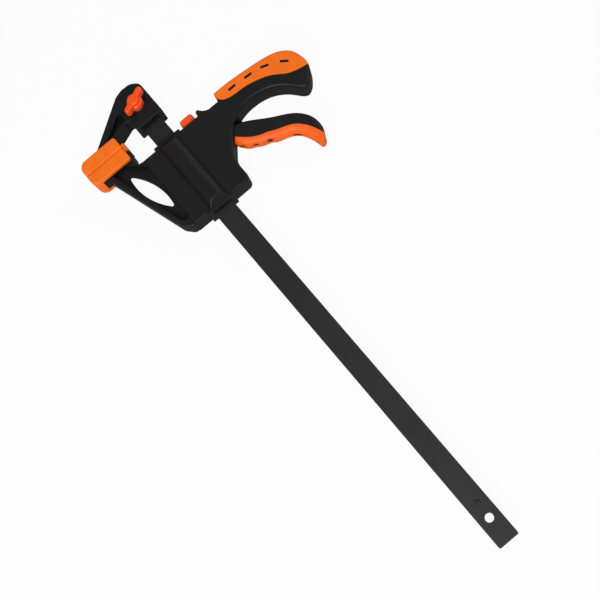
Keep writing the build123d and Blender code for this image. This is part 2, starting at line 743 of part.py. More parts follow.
def make_trigger():
    """Trigger core with its boss and the toe that pushes the drive plates."""
    core = slab(trigger_core_face(), TRIGGER_HALF)
    rim = core.edges().filter_by(lambda e: abs(abs(e.center().Z) - TRIGGER_HALF) < 0.01)
    core = fillet(rim.filter_by(lambda e: min((e @ 0).X, (e @ 1).X) < PIVOT_X), CORE_EDGE)
    core += [slab(toe_face(), TRIGGER_HALF - SEAT), *finger_posts(SEAT, POST_SINK)]
    return core - rod(PIVOT_X, PIVOT_Y, -BLOCK_HALF, BLOCK_HALF, PIVOT_D / 2 + PIN_FIT)


def finger_crest():
    """Crest line of the finger grip, over its hollows, from the crotch to the hooked tip."""
    return Spline(
        (57.4, above(32.0)),
        (62.6, above(34.2)),
        (67.8, above(39.2)),
        (73.3, above(48.6)),
        (79.6, above(61.8)),
        (82.6, above(70.2)),
        (85.9, above(75.3)),
        (89.6, above(78.4)),
        (95.0, above(80.9)),
        (99.9, above(82.5)),
        (104.3, above(83.3)),
    )


def make_finger_grip():
    """Soft finger side of the trigger: crowned, with finger hollows, pockets and a hooked tip."""
    half = TRIGGER_HALF + 0.2
    crest = finger_crest()
    tip = Spline(crest @ 1, (106.3, above(84.6)), (106.0, above(87.6)), over(TRIGGER_TIP))
    root = Line(over(TRIGGER_ROOT), crest @ 0)
    blank = slab(make_face(finger_border() + crest + tip + root), half)
    before, after = crest % 0, crest % 1
    path = Line(crest @ 0 - before * 4, crest @ 0) + crest + Line(crest @ 1, crest @ 1 + after * 8)
    bow = Plane(origin=path @ 0, x_dir=(before.Y, -before.X, 0), z_dir=before)
    section = Pos(-CROWN_DEPTH / 2, 0) * Rectangle(CROWN_DEPTH, 2 * half)
    section = fillet(section.vertices().group_by(Axis.X)[-1], CROWN_R)
    grip = blank & sweep(bow * section, path=path)
    for x, height, radius in FINGER_HOLLOWS:
        grip -= rod(x, above(height), -2 * half, 2 * half, radius)
    return grip - finger_posts(0, -2 * POST_SINK)


def make_trigger_pin():
    """Pivot pin, its ends blind in the two shells."""
    half = BLOCK_HALF - 1.2
    pin = rod(PIVOT_X, PIVOT_Y, -half, half, PIVOT_D / 2)
    return chamfer(pin.edges().filter_by(GeomType.CIRCLE), 0.4)


# ------------------------------------------------------------------ drive
def make_drive_plate(index):
    """Hardened plate with a window for the bar; the plates stand canted side by side."""
    cant = radians(PLATE_CANT)
    window = (BAR_WIDTH + 2 * RUN + PLATE_THICK * sin(cant)) / cos(cant)
    plate = Box(PLATE_THICK, PLATE_HEIGHT, PLATE_WIDTH)
    plate = fillet(plate.edges().filter_by(Axis.X), 1.5)
    plate -= Box(2 * PLATE_THICK, window, BAR_THICK + 2 * RUN)
    middle = PLATE_X + PLATE_THICK / (2 * cos(cant)) - TOE_Y * tan(cant) + index * PLATE_STEP
    return Pos(middle, 0, 0) * Rot(0, 0, -PLATE_CANT) * plate


def make_drive_spring():
    """Coil spring round the bar, between the plates and the end wall."""
    end = HOUSING_RIGHT - SHELL_WALL - 0.1
    return Pos(SPRING_START, 0, 0) * coil(end - SPRING_START, COIL_R, SPRING_WIRE, SPRING_TURNS)


# ------------------------------------------------------------------ brake
def brake_place():
    """Place and lean of the brake lever: its foot is the pivot."""
    return Pos(BRAKE_FOOT_X, FOOT_Y, 0) * Rot(0, 0, BRAKE_LEAN)


def brake_blank(length):
    """Lever blank standing up from its rounded foot."""
    blade = box(-FOOT_R, FOOT_R, 0, length, -PLATE_WIDTH / 2, PLATE_WIDTH / 2)
    return blade + Cylinder(FOOT_R, PLATE_WIDTH)


def brake_length():
    """Foot to the lever's upper end, which stops inside the button."""
    return (BUTTON_TOP - 1.8 - FOOT_Y) / cos(radians(BRAKE_LEAN))


def make_brake_lever():
    """Canted plate with a window for the bar."""
    lean = radians(BRAKE_LEAN)
    window = (BAR_WIDTH + 2 * RUN + BRAKE_THICK * sin(lean)) / cos(lean)
    centre = -FOOT_Y / cos(lean)
    lever = brake_blank(brake_length())
    lever -= Pos(0, centre, 0) * Box(3 * BRAKE_THICK, window, BAR_THICK + 2 * RUN)
    neck = BUTTON_HALF - 1.6
    for side in (-1, 1):
        edge = side * (neck + 5)
        start = (BUTTON_BOTTOM - 2.5 - FOOT_Y) / cos(lean)
        lever -= Pos(0, start + 50, edge) * Box(3 * BRAKE_THICK, 100, 10)
    return brake_place() * lever


def make_button():
    """Push button moulded over the lever's upper end, showing through the wall."""
    outer = HOUSING_LEFT - BUTTON_OUT
    inner = HOUSING_LEFT + SHELL_WALL + 4.8
    button = box(outer, inner, BUTTON_BOTTOM, BUTTON_TOP, -BUTTON_HALF, BUTTON_HALF)
    button = fillet(button.edges().filter_by(Axis.X) + button.edges().group_by(Axis.X)[0], 1.8)
    neck = BUTTON_HALF - 1.6
    slot = box(-FOOT_R, FOOT_R, 0, brake_length(), -neck, neck)
    return button - brake_place() * slot


def make_brake_spring():
    """Small spring that keeps the lever canted."""
    lean = radians(BRAKE_LEAN)
    low = BRAKE_COIL_Y - BRAKE_COIL_D / 2 - FOOT_Y
    start = BRAKE_FOOT_X - low * tan(lean) + FOOT_R / cos(lean) + REST
    end = BULKHEAD_X - 0.1
    spring = coil(end - start, (BRAKE_COIL_D - BRAKE_WIRE) / 2, BRAKE_WIRE, BRAKE_TURNS)
    return Pos(start, BRAKE_COIL_Y, 0) * spring


# ------------------------------------------------------------------ the whole clamp
def make_parts():
    """Every sub-part by name, in the bar's axes."""
    front, back = make_shells()
    pad = make_pad()
    return {
        "bar": make_bar(),
        "bar_stop_pin": make_stop_pin(),
        "fixed_jaw": make_fixed_jaw(),
        "fixed_jaw_pad": pad,
        "jaw_lock_knob": make_knob(),
        "jaw_lock_screw": make_screw(),
        "jaw_lock_washer": make_washer(),
        "jaw_lock_nut": make_nut(),
        "housing_front": front,
        "housing_back": back,
        "housing_screws": make_case_screws(),
        "moving_jaw_pad": mirror(pad, Plane.YZ),
        "grip_overlay": make_overlay(),
        "trigger": make_trigger(),
        "trigger_finger_grip": make_finger_grip(),
        "trigger_pin": make_trigger_pin(),
        "drive_plate_left": make_drive_plate(0),
        "drive_plate_right": make_drive_plate(1),
        "drive_spring": make_drive_spring(),
        "brake_lever": make_brake_lever(),
        "release_button": make_button(),
        "brake_spring": make_brake_spring(),
    }


def origin_shift(parts):
    """Brings the middle of the footprint, on the supporting surface, to the origin."""
    boxes = [part.bounding_box() for part in parts.values()]
    low = [min(getattr(b.min, axis) for b in boxes) for axis in "XYZ"]
    high = [max(getattr(b.max, axis) for b in boxes) for axis in "XYZ"]
    return Pos(-(low[0] + high[0]) / 2, -(low[1] + high[1]) / 2, -low[2])


def main():
    """Build every sub-part and write one STEP file for each."""
    parts = make_parts()
    shift = origin_shift(parts)
    os.makedirs("parts", exist_ok=True)
    for name, part in parts.items():
        export_step(shift * part, f"parts/{name}.step")


if __name__ == "__main__":
    main()
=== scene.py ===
import math

import bmesh
import bpy
from mathutils import Matrix, Vector


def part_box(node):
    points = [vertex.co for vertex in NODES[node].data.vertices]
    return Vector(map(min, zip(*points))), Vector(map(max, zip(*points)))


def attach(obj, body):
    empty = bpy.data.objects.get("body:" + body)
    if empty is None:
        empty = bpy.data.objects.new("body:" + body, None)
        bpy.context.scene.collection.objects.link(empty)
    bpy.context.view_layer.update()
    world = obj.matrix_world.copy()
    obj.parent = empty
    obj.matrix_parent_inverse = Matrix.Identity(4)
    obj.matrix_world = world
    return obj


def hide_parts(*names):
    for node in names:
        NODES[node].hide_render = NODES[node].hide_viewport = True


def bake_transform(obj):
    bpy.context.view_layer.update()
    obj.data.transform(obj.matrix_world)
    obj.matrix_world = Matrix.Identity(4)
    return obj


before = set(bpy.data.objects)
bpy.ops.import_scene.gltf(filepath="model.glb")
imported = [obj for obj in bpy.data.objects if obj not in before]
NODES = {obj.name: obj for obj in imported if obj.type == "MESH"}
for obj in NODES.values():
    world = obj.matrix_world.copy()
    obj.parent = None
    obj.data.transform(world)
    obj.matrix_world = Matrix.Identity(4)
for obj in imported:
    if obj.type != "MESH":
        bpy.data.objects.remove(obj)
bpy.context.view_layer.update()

# A one-hand bar clamp: black nylon mouldings with orange soft grips on a dark steel bar.
# The numbers are millimetres in the clamp's own axes: x along the bar from the plane
# where the pads meet, y from the bar's centre line towards the grip, z across the
# thickness from the middle plane.  place() brings such a point into the frame.
MM = 0.001
BAR_TAIL_X = -37.6  # the bar's hidden end
BAR_LOW, BAR_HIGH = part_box("bar")
BAR_Y = (BAR_LOW.y + BAR_HIGH.y) / 2
BAR_Z = (BAR_LOW.z + BAR_HIGH.z) / 2
ORIGIN = Vector((BAR_LOW.x - BAR_TAIL_X * MM, BAR_Y, BAR_Z))


def place(x, y, z):
    """A point of the clamp's own axes, in the frame, in metres."""
    return ORIGIN + Vector((x, y, z)) * MM


# ------------------------------------------------------------------ colours and nodes
FLAT_COSINE = 0.99  # rounded against true normal, where a face still counts as flat
CORNER_COSINE = 0.86  # and where it counts as a corner that takes rubbed wear and a painted highlight


def linear(code):
    """An sRGB hex colour as linear red, green, blue and alpha."""
    channels = [int(code[i:i + 2], 16) / 255 for i in (1, 3, 5)]
    return tuple(c / 12.92 if c <= 0.04045 else ((c + 0.055) / 1.055) ** 2.4 for c in channels) + (1.0,)


def node(tree, kind, inputs=None, **settings):
    """Adds a node: settings are its properties, inputs its socket values or links."""
    made = tree.nodes.new(kind)
    for name, value in settings.items():
        setattr(made, name, value)
    for name, value in (inputs or {}).items():
        if isinstance(value, bpy.types.NodeSocket):
            tree.links.new(value, made.inputs[name])
        else:
            made.inputs[name].default_value = value
    return made


def new_material(name):
    """An empty material and its tree, with the output and the shader joined."""
    material = bpy.data.materials.new(name)
    material.use_nodes = True
    tree = material.node_tree
    tree.nodes.clear()
    shader = node(tree, "ShaderNodeBsdfPrincipled")
    node(tree, "ShaderNodeOutputMaterial", {"Surface": shader.outputs["BSDF"]})
    return material, tree, shader


def speckle(tree, size_mm, detail=2.0, stretch=(1, 1, 1)):
    """Noise on the object's own coordinates, its cells about this size across."""
    where = node(tree, "ShaderNodeTexCoord")
    scaled = node(tree, "ShaderNodeMapping", {"Vector": where.outputs["Object"], "Scale": stretch})
    return node(
        tree,
        "ShaderNodeTexNoise",
        {"Vector": scaled.outputs["Vector"], "Scale": 1 / (size_mm * MM), "Detail": detail},
    ).outputs["Fac"]


def spread(tree, value, low, high):
    """Noise brought to a range of plain numbers."""
    return node(
        tree,
        "ShaderNodeMapRange",
        {"Value": value, "From Min": 0.3, "From Max": 0.7, "To Min": low, "To Max": high},
    ).outputs["Result"]


def tone(tree, value, dark, light):
    """Noise as a blend of two colours."""
    blend = node(tree, "ShaderNodeMix", {0: spread(tree, value, 0, 1)}, data_type="RGBA")
    blend.inputs[6].default_value = linear(dark)
    blend.inputs[7].default_value = linear(light)
    return blend.outputs[2]


def between(tree, factor, first, second):
    """Blend of two colour outputs."""
    blend = node(tree, "ShaderNodeMix", {0: factor, 6: first, 7: second}, data_type="RGBA")
    return blend.outputs[2]


def colour(tree, code):
    """A fixed colour as a node's output."""
    made = node(tree, "ShaderNodeRGB")
    made.outputs[0].default_value = linear(code)
    return made.outputs[0]


def rubbed_and_highlit_edges(tree, reach_mm, amount):
    """Corners made lighter, partly for rubbed wear and partly as a painted highlight for the light that
    rounded corners catch: from 0 on flats to this amount on outer edges, broken up by clouding."""
    # painted highlight: the lighter corner colour also stands in for light on the rounded edges
    soft = node(tree, "ShaderNodeBevel", {"Radius": reach_mm * MM}, samples=4)
    hard = node(tree, "ShaderNodeNewGeometry")
    facing = node(
        tree,
        "ShaderNodeVectorMath",
        {0: soft.outputs["Normal"], 1: hard.outputs["Normal"]},
        operation="DOT_PRODUCT",
    )
    edge = node(
        tree,
        "ShaderNodeMapRange",
        {"Value": facing.outputs["Value"], "From Min": FLAT_COSINE, "From Max": CORNER_COSINE},
    )
    patchy = spread(tree, speckle(tree, 6.0, 3.0), 0.35 * amount, amount)
    edge_wear_and_highlight = {0: edge.outputs["Result"], 1: patchy}
    return node(tree, "ShaderNodeMath", edge_wear_and_highlight, operation="MULTIPLY").outputs[0]


def grain(tree, shader, height, depth_mm, strength=1.0, below=None):
    """Bump from a height between 0 and 1, this deep."""
    inputs = {"Height": height, "Distance": depth_mm * MM, "Strength": strength}
    if below is not None:
        inputs["Normal"] = below
    bump = node(tree, "ShaderNodeBump", inputs).outputs["Normal"]
    tree.links.new(bump, shader.inputs["Normal"])
    return bump


# ------------------------------------------------------------------ materials
GRAIN = 0.45  # spark-eroded mould texture, coarse enough to show
PARTING_LINE = 0.07  # half width of the seam between moulded halves


def moulded_nylon():
    """Glass-filled nylon 6, injection moulded in a spark-eroded tool: black, with a fine
    even grain, a broad dull sheen and a hair line where the two halves meet."""
    material, tree, shader = new_material("nylon_glass_filled_black")
    fine = speckle(tree, GRAIN, 1.0)
    cloud = speckle(tree, 14.0, 3.0)
    where = node(tree, "ShaderNodeTexCoord")
    split = node(tree, "ShaderNodeSeparateXYZ", {"Vector": where.outputs["Object"]})
    away = node(tree, "ShaderNodeMath", {0: split.outputs["Z"], 1: ORIGIN.z}, operation="SUBTRACT")
    away = node(tree, "ShaderNodeMath", {0: away.outputs[0]}, operation="ABSOLUTE")
    seam = node(
        tree,
        "ShaderNodeMapRange",
        {"Value": away.outputs[0], "From Min": PARTING_LINE * MM, "From Max": 2.2 * PARTING_LINE * MM},
    ).outputs["Result"]
    body = tone(tree, cloud, "#111111", "#151515")
    # painted highlight: corners lighter, partly rubbed wear and partly the light that rounded corners catch
    edge_wear_and_highlight = between(tree, rubbed_and_highlit_edges(tree, 0.5, 0.7), body, colour(tree, "#1f1f1f"))
    tree.links.new(between(tree, seam, colour(tree, "#090909"), edge_wear_and_highlight), shader.inputs["Base Color"])
    tree.links.new(spread(tree, fine, 0.42, 0.54), shader.inputs["Roughness"])
    shader.inputs["IOR"].default_value = 1.53
    shader.inputs["Specular IOR Level"].default_value = 0.27
    grained = grain(tree, shader, fine, 0.035)
    grain(tree, shader, seam, 0.06, below=grained)
    return material


def blackened_steel():
    """Cold-drawn flat bar with a black oxide finish: dark and satin, with faint drawing
    lines along its length and a few rubbed places from the plates."""
    material, tree, shader = new_material("steel_black_oxide")
    drawn = speckle(tree, 0.5, 2.0, stretch=(0.02, 1, 1))
    rubbed = speckle(tree, 22.0, 4.0, stretch=(0.35, 1, 1))
    oxide = tone(tree, rubbed, "#262626", "#2c2c2c")
    # painted highlight: edges lighter, partly oxide rubbed to bare steel and partly the light that the bar's
    # rounded edges catch
    edge_wear_and_highlight = between(tree, rubbed_and_highlit_edges(tree, 0.5, 0.7), oxide, colour(tree, "#484848"))
    tree.links.new(edge_wear_and_highlight, shader.inputs["Base Color"])
    tree.links.new(spread(tree, drawn, 0.4, 0.52), shader.inputs["Roughness"])
    shader.inputs["Metallic"].default_value = 0.35
    shader.inputs["Specular IOR Level"].default_value = 0.4
    grain(tree, shader, drawn, 0.012)
    return material


def soft_grip(name, dark, light, roughness):
    """Thermoplastic elastomer moulded over the nylon: saturated, matt and faintly
    downy, with a fine grain and slight clouding where it has been handled."""
    material, tree, shader = new_material(name)
    fine = speckle(tree, GRAIN, 1.0)
    cloud = speckle(tree, 9.0, 3.0)
    tree.links.new(tone(tree, cloud, dark, light), shader.inputs["Base Color"])
    tree.links.new(spread(tree, fine, roughness - 0.05, roughness + 0.07), shader.inputs["Roughness"])
    shader.inputs["IOR"].default_value = 1.5
    shader.inputs["Specular IOR Level"].default_value = 0.25
    shader.inputs["Sheen Weight"].default_value = 0.02
    shader.inputs["Sheen Roughness"].default_value = 0.4
    grain(tree, shader, fine, 0.03)
    return material


def hard_orange():
    """Polypropylene, moulded in a polished tool: bright, with a soft gloss and very
    slight sink marks over the thick places."""
    material, tree, shader = new_material("polypropylene_orange")
    sink = speckle(tree, 5.0, 1.0)
    fine = speckle(tree, 0.8, 2.0)
    tree.links.new(tone(tree, sink, "#fb5014", "#ff5e1e"), shader.inputs["Base Color"])
    tree.links.new(spread(tree, fine, 0.28, 0.36), shader.inputs["Roughness"])
    shader.inputs["IOR"].default_value = 1.49
    shader.inputs["Specular IOR Level"].default_value = 0.35
    grain(tree, shader, sink, 0.05)
    return material


def bright_steel(name, pale, dull, roughness, lines=(1, 1, 1)):
    """Zinc-plated or ground steel: pale grey metal with fine working lines."""
    material, tree, shader = new_material(name)
    worked = speckle(tree, 0.35, 2.0, stretch=lines)
    tree.links.new(tone(tree, speckle(tree, 4.0, 3.0), dull, pale), shader.inputs["Base Color"])
    tree.links.new(spread(tree, worked, roughness - 0.06, roughness + 0.08), shader.inputs["Roughness"])
    shader.inputs["Metallic"].default_value = 1.0
    grain(tree, shader, worked, 0.01)
    return material


NYLON = moulded_nylon()
BAR_STEEL = blackened_steel()
GRIP_ORANGE = soft_grip("elastomer_orange", "#fa7014", "#ff7a1c", 0.5)
TRIGGER_ORANGE = soft_grip("elastomer_orange_trigger", "#fa6417", "#ff6e20", 0.46)
HARD_ORANGE = hard_orange()
ZINC = bright_steel("steel_zinc_plated", "#c9ccd0", "#b2b5b8", 0.3)
HARDENED = bright_steel("steel_hardened_ground", "#a9a9a8", "#8f8f8f", 0.34, lines=(1, 0.08, 1))
SPRING_STEEL = bright_steel("spring_wire_drawn", "#a6a7aa", "#8b8c90", 0.28)

FINISHES = {
    "bar": BAR_STEEL,
    "bar_stop_pin": BAR_STEEL,
    "fixed_jaw": NYLON,
    "fixed_jaw_pad": GRIP_ORANGE,
    "jaw_lock_knob": HARD_ORANGE,
    "jaw_lock_screw": ZINC,
    "jaw_lock_washer": ZINC,
    "jaw_lock_nut": ZINC,
    "housing_front": NYLON,
    "housing_back": NYLON,
    "housing_screws": ZINC,
    "moving_jaw_pad": GRIP_ORANGE,
    "grip_overlay": GRIP_ORANGE,
    "trigger": NYLON,
    "trigger_finger_grip": TRIGGER_ORANGE,
    "trigger_pin": ZINC,
    "drive_plate_left": HARDENED,
    "drive_plate_right": HARDENED,
    "drive_spring": SPRING_STEEL,
    "brake_lever": HARDENED,
    "release_button": HARD_ORANGE,
    "brake_spring": SPRING_STEEL,
}
for name, finish in FINISHES.items():
    slots = NODES[name].data.materials
    slots.clear()
    slots.append(finish)


# ------------------------------------------------------------------ small pieces
BAR_HALF = 9.0  # half the bar's width
BLOCK_SIDE = 10.0  # side of the housing's block from the middle plane
ROUND = 24  # corners of a turned shape
CORNER_STEPS = 3  # faces round a post's corner
CREASE = 35  # degrees between two faces that meet in a sharp edge
SKIN_THICK = 2.2  # soft overlay over the grip's core
VENTS = [(21.0, 59.7, 90), (22.0, 76.1, 86), (24.9, 91.4, 68), (32.8, 106.2, 50)]  # x, height, turn
VENT_SIZE = (7.6, 2.5)
VENT_PROUD = 0.05  # core stands this far out of the overlay's skin in each vent
RIB_SUNK = 0.1  # and starts this far under the skin
FINGER_SLOTS = [(62.4, 35.4, 44, 4.4), (69.1, 44.4, 58, 4.7), (74.3, 55.4, 64, 6.0), (85.9, 75.5, 48, 8.2)]
FINGER_SLOT_WIDTH = 5.2
FINGER_RIB = (-1.6, 0.06)  # foot and top of each rib, from the finger grip's surface
SCREW_ISLAND = 6.0  # no case screw is wider than this
PAN_HEAD = [(0.35, 0), (0.72, 0.12), (0.93, 0.55), (1.0, 1.1), (1.0, 2.0)]  # share of the radius, height
SHANK_SHARE = 0.52  # shank against head
POINT_SHARE = 0.25  # blunt point against shank
POINT_LENGTH = 1.2
CROSS_RECESS = [(1.55, 0.36, -0.2), (1.35, 0.32, 0.5), (0.5, 0.2, 1.5)]  # reach, half width, depth
SCREW_TURN = 37  # degrees from one screw's cross to the next, as a driver leaves them
THREAD_PITCH = 1.0
THREAD_DEPTH = 0.55
THREAD_STEPS = 8  # rows of faces to a turn of the thread
THREAD_SLOPE = 2.6  # steepness of its flanks
THREAD_ROOT = 0.15  # flat share of its root
STUD_CHAMFER = 0.7
COIL_STEPS = 28  # rings of faces to a turn of a spring
WIRE_SIDES = 10
CLOSED_TURNS = 0.5  # part of a turn that lies flat at each end of a spring
MERGE = 0.001  # points of a CAD mesh this close are one


def skinned(name, rings):
    """A closed mesh over rings of points with as many points each, capped at both ends."""
    count = len(rings[0])
    corners_of = [tuple(p) for ring in rings for p in ring]
    faces = [tuple(reversed(range(count)))]
    for row in range(len(rings) - 1):
        for i in range(count):
            j = (i + 1) % count
            low, high = row * count, (row + 1) * count
            faces.append((low + i, low + j, high + j, high + i))
    faces.append(tuple((len(rings) - 1) * count + i for i in range(count)))
    mesh = bpy.data.meshes.new(name)
    mesh.from_pydata(corners_of, [], faces)
    mesh.validate()
    mesh.shade_smooth()
    mesh.set_sharp_from_angle(angle=math.radians(CREASE))
    return mesh


def placed_object(name, data):
    """An object of the scene that holds this mesh, lamp or camera."""
    made = bpy.data.objects.new(name, data)
    bpy.context.scene.collection.objects.link(made)
    return made


def plain_mesh(source, name):
    """The finished mesh of an object with its modifiers, as a mesh of its own."""
    bpy.context.view_layer.update()
    seen = source.evaluated_get(bpy.context.evaluated_depsgraph_get())
    mesh = bpy.data.meshes.new_from_object(seen)
    mesh.name = name
    return mesh


def circle(radius, z):
    """A ring of points round the z axis, in millimetres."""
    steps = [2 * math.pi * i / ROUND for i in range(ROUND)]
    return [Vector((radius * math.cos(a), radius * math.sin(a), z)) * MM for a in steps]


def rounded_bar(length, width, radius, z):
    """A ring round a bar with rounded corners, in millimetres."""
    ring = []
    for quarter, (sx, sy) in enumerate(((1, 1), (-1, 1), (-1, -1), (1, -1))):
        middle = (sx * (length / 2 - radius), sy * (width / 2 - radius))
        for step in range(CORNER_STEPS + 1):
            a = math.pi / 2 * (quarter + step / CORNER_STEPS)
            x = middle[0] + radius * math.cos(a)
            y = middle[1] + radius * math.sin(a)
            ring.append(Vector((x, y, z)) * MM)
    return ring


def block(name, length, width, low, high, edge=0.15):
    """A post with rounded corners and a small chamfer round its top."""
    radius = 0.3 * width
    return skinned(
        name,
        [
            rounded_bar(length, width, radius, low),
            rounded_bar(length, width, radius, high - edge),
            rounded_bar(length - 2 * edge, width - 2 * edge, radius - edge, high),
        ],
    )


def repeated(name, unit, spots, finish):
    """One mesh of a unit set down on each spot: a place in the frame and a turn."""
    tree = bpy.data.node_groups.new(name + "_set", "GeometryNodeTree")
    sockets = {
        "Spots": "NodeSocketGeometry",
        "Unit": "NodeSocketObject",
        "Finish": "NodeSocketMaterial",
    }
    made = {
        label: tree.interface.new_socket(name=label, in_out="INPUT", socket_type=kind)
        for label, kind in sockets.items()
    }
    tree.interface.new_socket(name="Pieces", in_out="OUTPUT", socket_type="NodeSocketGeometry")
    given = node(tree, "NodeGroupInput")
    shape = node(tree, "GeometryNodeObjectInfo", {"Object": given.outputs["Unit"]})
    turn = node(tree, "GeometryNodeInputNamedAttribute", {"Name": "turn"}, data_type="FLOAT_VECTOR")
    laid = node(
        tree,
        "GeometryNodeInstanceOnPoints",
        {
            "Points": given.outputs["Spots"],
            "Instance": shape.outputs["Geometry"],
            "Rotation": turn.outputs["Attribute"],
        },
    )
    real = node(tree, "GeometryNodeRealizeInstances", {"Geometry": laid.outputs["Instances"]})
    dressed = node(
        tree,
        "GeometryNodeSetMaterial",
        {"Geometry": real.outputs["Geometry"], "Material": given.outputs["Finish"]},
    )
    node(tree, "NodeGroupOutput", {"Pieces": dressed.outputs["Geometry"]})
    points = bpy.data.meshes.new(name + "_spots")
    points.from_pydata([tuple(spot) for spot, _ in spots], [], [])
    turns = points.attributes.new("turn", "FLOAT_VECTOR", "POINT")
    for i, (_, angles) in enumerate(spots):
        turns.data[i].vector = angles
    carrier = placed_object(name + "_carrier", points)
    holder = placed_object(name + "_unit", unit)
    modifier = carrier.modifiers.new("set", "NODES")
    modifier.node_group = tree
    modifier[made["Unit"].identifier] = holder
    modifier[made["Finish"].identifier] = finish
    mesh = plain_mesh(carrier, name)
    bpy.data.objects.remove(carrier)
    bpy.data.objects.remove(holder)
    return placed_object(name, mesh)


def joined(name, meshes):
    """Several meshes as one."""
    both = bmesh.new()
    for mesh in meshes:
        both.from_mesh(mesh)
    mesh = bpy.data.meshes.new(name)
    both.to_mesh(mesh)
    both.free()
    return mesh


def grip_core_ribs():
    """Ribs of the grip's hard core, seen dark in the overlay's four vents on each side."""
    rib = block("grip_rib", *VENT_SIZE, BLOCK_SIDE - SKIN_THICK - RIB_SUNK, BLOCK_SIDE + VENT_PROUD)
    spots = []
    for x, height, turn in VENTS:
        where = place(x, BAR_HALF + height, 0)
        spots.append((where, (0, 0, math.radians(turn))))
        spots.append((where, (math.pi, 0, math.radians(turn))))
    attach(repeated("grip_core_ribs", rib, spots, NYLON), "sliding_jaw")


def trigger_core_ribs():
    """Ribs of the trigger's core, seen dark in the slots along the finger grip."""
    parts = []
    for x, height, turn, length in FINGER_SLOTS:
        rib = block("finger_rib", length, FINGER_SLOT_WIDTH, *FINGER_RIB)
        lean = Matrix.Rotation(math.radians(turn), 4, "Z") @ Matrix.Rotation(math.radians(90), 4, "X")
        rib.transform(Matrix.Translation(place(x, BAR_HALF + height, 0)) @ lean)
        parts.append(rib)
    piece = placed_object("trigger_core_ribs", joined("trigger_core_ribs", parts))
    piece.data.materials.append(NYLON)
    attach(piece, "trigger")


def node_islands(name, reach):
    """Lowest and highest corners, in metres, of each separate piece of a CAD node.  No piece
    is wider than this reach in millimetres."""
    groups = []
    for vertex in NODES[name].data.vertices:
        near = [g for g in groups if (vertex.co - g[0]).xy.length < reach * MM]
        if near:
            near[0].append(vertex.co.copy())
        else:
            groups.append([vertex.co.copy()])
    boxes = []
    for group in groups:
        low = Vector([min(p[axis] for p in group) for axis in range(3)])
        high = Vector([max(p[axis] for p in group) for axis in range(3)])
        boxes.append((low, high))
    return boxes


def cross_outline(reach, half, z):
    """A ring round a four-armed cross, in millimetres."""
    ring = []
    for quarter in range(4):
        c, s = ((1, 0), (0, 1), (-1, 0), (0, -1))[quarter]
        for u, v in ((reach, -half), (reach, half), (half, half)):
            ring.append(Vector((c * u - s * v, s * u + c * v, z)) * MM)
    return ring


def case_screws():
    """Pan-head screws with a cross recess, in the wells of the housing's back half."""
    boxes = node_islands("housing_screws", SCREW_ISLAND)
    low, high = boxes[0]
    head = (high.x - low.x) / 2 / MM
    length = (high.z - low.z) / MM
    shank = SHANK_SHARE * head
    profile = [(share * head, z) for share, z in PAN_HEAD]
    profile += [
        (shank, profile[-1][1]),
        (shank, length - POINT_LENGTH),
        (POINT_SHARE * shank, length),
    ]
    screw = placed_object("screw_blank", skinned("screw_blank", [circle(r, z) for r, z in profile]))
    recess = skinned("screw_recess", [cross_outline(*ring) for ring in CROSS_RECESS])
    cutter = placed_object("screw_cutter", recess)
    cut = screw.modifiers.new("recess", "BOOLEAN")
    cut.operation = "DIFFERENCE"
    cut.object = cutter
    unit = plain_mesh(screw, "case_screw")
    bpy.data.objects.remove(screw)
    bpy.data.objects.remove(cutter)
    spots = []
    for i, (low, high) in enumerate(boxes):
        middle = (low + high) / 2
        spots.append(((middle.x, middle.y, low.z), (0, 0, math.radians(SCREW_TURN * i))))
    piece = repeated("case_screws", unit, spots, ZINC)
    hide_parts("housing_screws")
    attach(piece, "sliding_jaw")


def threaded_stud():
    """M6 stud under the knob, its thread cut along the whole shank."""
    low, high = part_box("jaw_lock_screw")
    radius = (high.x - low.x) / 2 / MM
    length = (high.z - low.z) / MM
    rows = round(length / THREAD_PITCH * THREAD_STEPS)
    rings = []
    for row in range(rows + 1):
        z = length * row / rows
        chamfer = max(0.0, STUD_CHAMFER - z, STUD_CHAMFER - (length - z))
        ring = []
        for i in range(ROUND):
            a = 2 * math.pi * i / ROUND
            phase = (z / THREAD_PITCH - i / ROUND) % 1.0
            flank = min(1.0, max(0.0, THREAD_SLOPE * abs(phase - 0.5) - THREAD_ROOT))
            r = radius - max(chamfer, THREAD_DEPTH * (1 - flank))
            ring.append(Vector((r * math.cos(a), r * math.sin(a), z)) * MM)
        rings.append(ring)
    mesh = skinned("lock_stud", rings)
    mesh.transform(Matrix.Translation(((low.x + high.x) / 2, (low.y + high.y) / 2, low.z)))
    mesh.materials.append(ZINC)
    piece = placed_object("lock_stud", mesh)
    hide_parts("jaw_lock_screw")
    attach(piece, "lock_knob")


def softened(name, node_name, body, voxel_mm, rounds, finish):
    """A moulding with its corners flowed round, as the tool leaves them, over its CAD solid."""
    copied = bmesh.new()
    copied.from_mesh(NODES[node_name].data)
    bmesh.ops.remove_doubles(copied, verts=copied.verts, dist=MERGE * MM)
    rough = bpy.data.meshes.new(name + "_rough")
    copied.to_mesh(rough)
    copied.free()
    source = placed_object(name + "_source", rough)
    grid = source.modifiers.new("grid", "REMESH")
    grid.mode = "VOXEL"
    grid.voxel_size = voxel_mm * MM
    flow = source.modifiers.new("flow", "SMOOTH")
    flow.factor = 0.5
    flow.iterations = rounds
    mesh = plain_mesh(source, name)
    bpy.data.objects.remove(source)
    mesh.shade_smooth()
    mesh.materials.clear()
    mesh.materials.append(finish)
    piece = placed_object(name, mesh)
    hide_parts(node_name)
    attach(piece, body)


